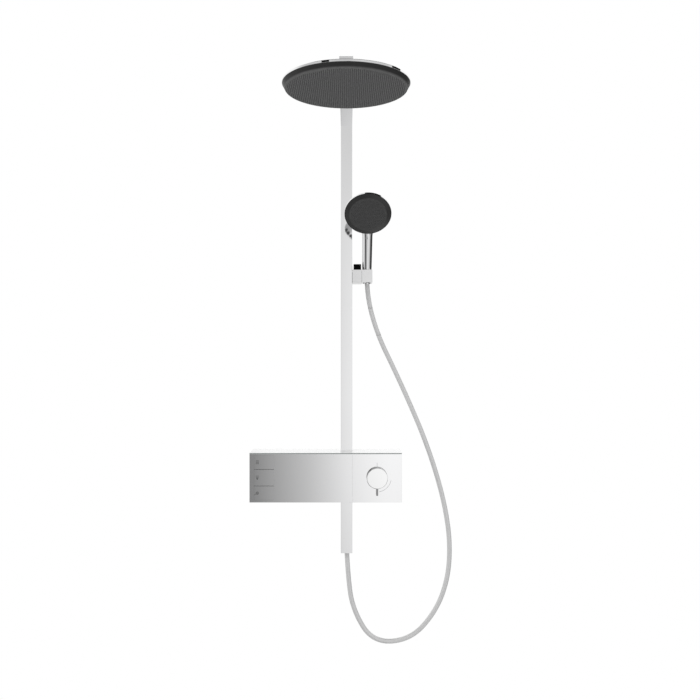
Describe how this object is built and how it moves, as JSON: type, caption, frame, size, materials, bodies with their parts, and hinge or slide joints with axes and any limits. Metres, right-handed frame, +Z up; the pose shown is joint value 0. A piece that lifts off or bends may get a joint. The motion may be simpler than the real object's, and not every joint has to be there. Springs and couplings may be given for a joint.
{
  "type": "rainfall shower column",
  "caption": "Wall-mounted rain shower column: thermostatic panel with press buttons and glass shelf, square riser, overhead shower on an arm, hand shower on a sliding holder.",
  "frame": {"origin": "on the finished wall plane, halfway between the two water inlets, which is also the column's centre line", "axes": "+X to the right seen from the front, +Y into the wall, +Z up; the front faces -Y"},
  "size_m": [0.5384, 0.581, 1.4262],
  "materials": {
    "chrome_metal": "polished chrome plate",
    "chrome_plated_plastic": "chrome-plated plastic, mirror bright",
    "clear_glass": "clear safety glass with polished edges",
    "graphite_plastic": "graphite, fine satin",
    "silicone": "soft silicone",
    "black_plastic": "black satin",
    "white_plastic": "moulded engineering plastic",
    "brass": "machined brass",
    "pipe": "plain aluminium",
    "steel": "stainless",
    "hose_skin": "silver-grey satin hose skin",
    "seal_rubber": "black rubber"
  },
  "bodies": {
    "column": {"panel_housing": "chrome_metal", "front_plate": "chrome_metal", "thermostat_plate": "chrome_metal", "column_profile": "chrome_metal", "arm_profile": "chrome_metal", "arm_front_cap": "chrome_metal", "arm_back_cap": "chrome_metal", "column_end_cap": "chrome_metal", "ball_retainer": "chrome_metal", "glass_shelf": "clear_glass", "button_carrier": "white_plastic", "select_cartridges": "white_plastic", "thermostat_cartridge": "white_plastic", "valve_body": "brass", "column_manifold": "brass", "riser_elbow": "brass", "ball_socket": "brass", "hose_outlet": "brass", "transfer_nipples": "brass", "inlet_union_left": "brass", "inlet_union_right": "brass", "union_nut_left": "brass", "union_nut_right": "brass", "hose_end_nut": "brass", "riser_tube": "pipe", "outlet_tube": "pipe", "arm_tube": "pipe", "slider_rail": "pipe", "wall_plate": "pipe", "hanger_block": "pipe", "shower_hose": "hose_skin", "inlet_seals": "seal_rubber", "hose_end_washer": "seal_rubber"},
    "knob": {"thermostat_knob": "chrome_metal", "knob_lever": "chrome_metal", "thermostat_spindle": "brass"},
    "button_top": {"select_button_top": "chrome_metal"},
    "button_middle": {"select_button_middle": "chrome_metal"},
    "button_bottom": {"select_button_bottom": "chrome_metal"},
    "head_swivel": {"ball_liner": "white_plastic"},
    "overhead": {"head_cover": "chrome_metal", "spray_plate": "graphite_plastic", "nozzle_mat": "silicone", "head_ball": "brass"},
    "carriage": {"slider_carriage": "chrome_metal", "slider_shoe": "white_plastic", "shoe_screws": "steel"},
    "release": {"release_button": "black_plastic"},
    "holder": {"holder_socket": "chrome_metal", "tilt_screw": "steel"},
    "handset": {"handset_body": "chrome_plated_plastic", "handset_face": "graphite_plastic", "handset_mat": "silicone", "handset_insert": "white_plastic", "hose_nut": "chrome_metal", "hose_washer": "seal_rubber"}
  },
  "joints": [
    {"name": "knob_turn", "type": "hinge", "parent": "column", "child": "knob", "pos_m": [0.08025, -0.092, 0], "axis": [0, 1, 0], "range_deg": [-100, 100]},
    {"name": "button_top_press", "type": "slide", "parent": "column", "child": "button_top", "axis": [0, 1, 0], "range_m": [0, 0.0025], "stiffness_N_per_m": 800, "springref_m": -0.0015},
    {"name": "button_middle_press", "type": "slide", "parent": "column", "child": "button_middle", "axis": [0, 1, 0], "range_m": [0, 0.0025], "stiffness_N_per_m": 800, "springref_m": -0.0015},
    {"name": "button_bottom_press", "type": "slide", "parent": "column", "child": "button_bottom", "axis": [0, 1, 0], "range_m": [0, 0.0025], "stiffness_N_per_m": 800, "springref_m": -0.0015},
    {"name": "head_pitch", "type": "hinge", "parent": "column", "child": "head_swivel", "pos_m": [0, -0.42, 0.945], "axis": [1, 0, 0], "range_deg": [-8, 2.5]},
    {"name": "head_roll", "type": "hinge", "parent": "head_swivel", "child": "overhead", "pos_m": [0, -0.42, 0.945], "axis": [0, 1, 0], "range_deg": [-8, 8]},
    {"name": "carriage_slide", "type": "slide", "parent": "column", "child": "carriage", "axis": [0, 0, 1], "range_m": [-0.22, 0.08], "deforming": ["shower_hose"]},
    {"name": "release_press", "type": "slide", "parent": "carriage", "child": "release", "axis": [0, 0, -1], "range_m": [0, 0.0025], "stiffness_N_per_m": 900, "springref_m": -0.0015},
    {"name": "holder_tilt", "type": "hinge", "parent": "carriage", "child": "holder", "pos_m": [0.035, -0.058, 0.53], "axis": [1, 0, 0], "range_deg": [-12, 12], "deforming": ["shower_hose"]},
    {"name": "handset_lift", "type": "slide", "parent": "holder", "child": "handset", "axis": [0, -0.5, 0.866], "range_m": [0, 0.06], "deforming": ["shower_hose"]}
  ]
}
